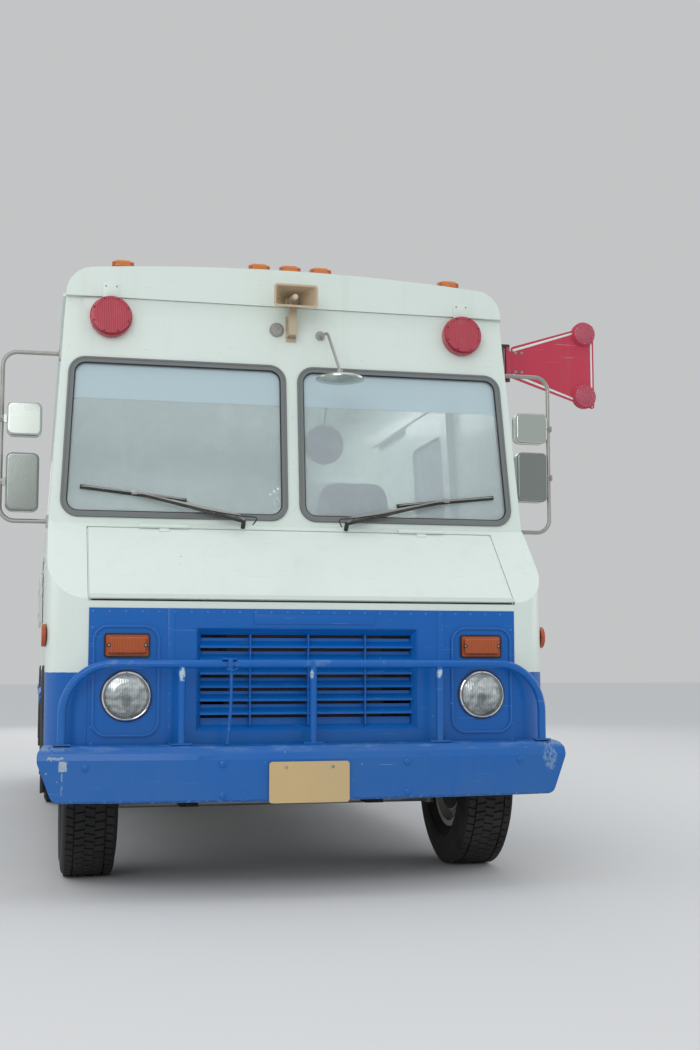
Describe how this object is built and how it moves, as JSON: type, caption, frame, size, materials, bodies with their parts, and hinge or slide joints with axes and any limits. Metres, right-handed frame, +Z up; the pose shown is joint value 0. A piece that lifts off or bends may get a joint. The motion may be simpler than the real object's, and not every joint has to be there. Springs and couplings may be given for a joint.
{
  "type": "ice cream truck",
  "caption": "Forward-control ice cream truck: walk-in van body on a ladder chassis with twin rear wheels, serving window, stop arm and opening doors.",
  "frame": {"origin": "on the ground below the middle of the front axle", "axes": "+X towards the driver's side, +Y back along the truck, +Z up"},
  "size_m": [2.7099, 5.8903, 2.655],
  "materials": {
    "white_paint": "gloss enamel, aged",
    "blue_paint": "gloss enamel, scuffed",
    "chassis": "black paint with road dirt",
    "cast_iron": "raw",
    "bare_steel": "weathered",
    "alloy_sheet": "mill finish",
    "wheel_paint": "white enamel, dusty",
    "chrome": "bright",
    "tyre": "matt",
    "seal_rubber": "grey, aged",
    "glass": "clear",
    "lamp_glass": "fluted",
    "amber_lens": "gloss",
    "red_lens": "gloss, faded",
    "mirror_metal": "satin",
    "black_plastic": "grained",
    "horn_paint": "tan, weathered",
    "sign_paint": "red, faded",
    "vinyl": "vinyl, worn",
    "stainless": "brushed"
  },
  "bodies": {
    "root": {"frame": "chassis", "crossmembers": "chassis", "front_axle": "chassis", "rear_axle": "cast_iron", "leaf_springs": "chassis", "engine": "cast_iron", "fuel_tank": "chassis", "exhaust": "bare_steel", "floor": "alloy_sheet", "wheel_houses": "alloy_sheet", "step_wells": "alloy_sheet", "nose": "white_paint", "front_panel": "blue_paint", "grille": "blue_paint", "headlamps": "lamp_glass", "amber_lamps": "amber_lens", "red_lamps": "red_lens", "windshield_wall": "white_paint", "windshields": "glass", "windshield_seals": "seal_rubber", "side_left": "white_paint", "side_right": "white_paint", "roof": "white_paint", "roof_vent": "alloy_sheet", "rear_wall": "white_paint", "serving_window": "alloy_sheet", "bumper_front": "blue_paint", "guard_bar": "blue_paint", "bumper_rear": "blue_paint", "horn_speaker": "horn_paint", "mirror_arms": "mirror_metal", "mirror_heads": "mirror_metal", "wipers": "black_plastic", "sign_bracket": "black_plastic", "dashboard": "black_plastic", "driver_seat": "vinyl", "steering_wheel": "black_plastic", "galley": "stainless"},
    "hood": {"hood": "white_paint"},
    "rear_door": {"rear_door": "white_paint"},
    "cab_door_left": {"cab_door_left": "white_paint"},
    "cab_door_right": {"cab_door_right": "white_paint"},
    "serving_shelf": {"serving_shelf": "stainless"},
    "stop_sign": {"stop_sign": "sign_paint"},
    "knuckle_left": {"knuckle_left": "cast_iron"},
    "front_wheel_left": {"front_wheel_left": "wheel_paint", "front_tyre_left": "tyre"},
    "rear_wheels_left": {"rear_wheels_left": "wheel_paint", "rear_tyres_left": "tyre"},
    "knuckle_right": {"knuckle_right": "cast_iron"},
    "front_wheel_right": {"front_wheel_right": "wheel_paint", "front_tyre_right": "tyre"},
    "rear_wheels_right": {"rear_wheels_right": "wheel_paint", "rear_tyres_right": "tyre"},
    "tie_rod": {"tie_rod": "bare_steel"}
  },
  "joints": [
    {"name": "hood_hinge", "type": "hinge", "parent": "root", "child": "hood", "pos_m": [0, -0.30507, 1.41485], "axis": [-1, 0, 0], "range_deg": [0, 60]},
    {"name": "rear_door_hinge", "type": "hinge", "parent": "root", "child": "rear_door", "pos_m": [-0.377, 4.9585, 1.38], "axis": [0, 0, 1], "range_deg": [0, 110]},
    {"name": "serving_shelf_hinge", "type": "hinge", "parent": "root", "child": "serving_shelf", "pos_m": [-1.012, 2.7, 1.392], "axis": [0, 1, 0], "range_deg": [0, 90]},
    {"name": "stop_sign_swing", "type": "hinge", "parent": "root", "child": "stop_sign", "pos_m": [1.075, 0.1, 2.255], "axis": [0, 0, 1], "range_deg": [0, 90]},
    {"name": "cab_door_left_slide", "type": "slide", "parent": "root", "child": "cab_door_left", "axis": [0, 1, 0], "range_m": [0, 0.68]},
    {"name": "cab_door_right_slide", "type": "slide", "parent": "root", "child": "cab_door_right", "axis": [0, 1, 0], "range_m": [0, 0.68]},
    {"name": "steer_left", "type": "hinge", "parent": "root", "child": "knuckle_left", "pos_m": [0.705, 0, 0.375], "axis": [0, 0, 1], "range_deg": [-35, 35]},
    {"name": "front_wheel_left_spin", "type": "hinge", "parent": "knuckle_left", "child": "front_wheel_left", "pos_m": [0.815, 0, 0.375], "axis": [1, 0, 0], "continuous": true},
    {"name": "rear_wheels_left_spin", "type": "hinge", "parent": "root", "child": "rear_wheels_left", "pos_m": [0.72, 3.175, 0.375], "axis": [1, 0, 0], "continuous": true},
    {"name": "steer_right", "type": "hinge", "parent": "root", "child": "knuckle_right", "pos_m": [-0.705, 0, 0.375], "axis": [0, 0, 1], "range_deg": [-35, 35]},
    {"name": "front_wheel_right_spin", "type": "hinge", "parent": "knuckle_right", "child": "front_wheel_right", "pos_m": [-0.815, 0, 0.375], "axis": [1, 0, 0], "continuous": true},
    {"name": "rear_wheels_right_spin", "type": "hinge", "parent": "root", "child": "rear_wheels_right", "pos_m": [-0.72, 3.175, 0.375], "axis": [1, 0, 0], "continuous": true},
    {"name": "tie_rod_pivot", "type": "hinge", "parent": "knuckle_left", "child": "tie_rod", "pos_m": [0.705, 0.165, 0.262], "axis": [0, 0, 1], "range_deg": [-35, 35]}
  ],
  "couplings": [
    {"joint": "steer_right", "follows": "steer_left", "ratio": 1},
    {"joint": "tie_rod_pivot", "follows": "steer_left", "ratio": -1}
  ]
}
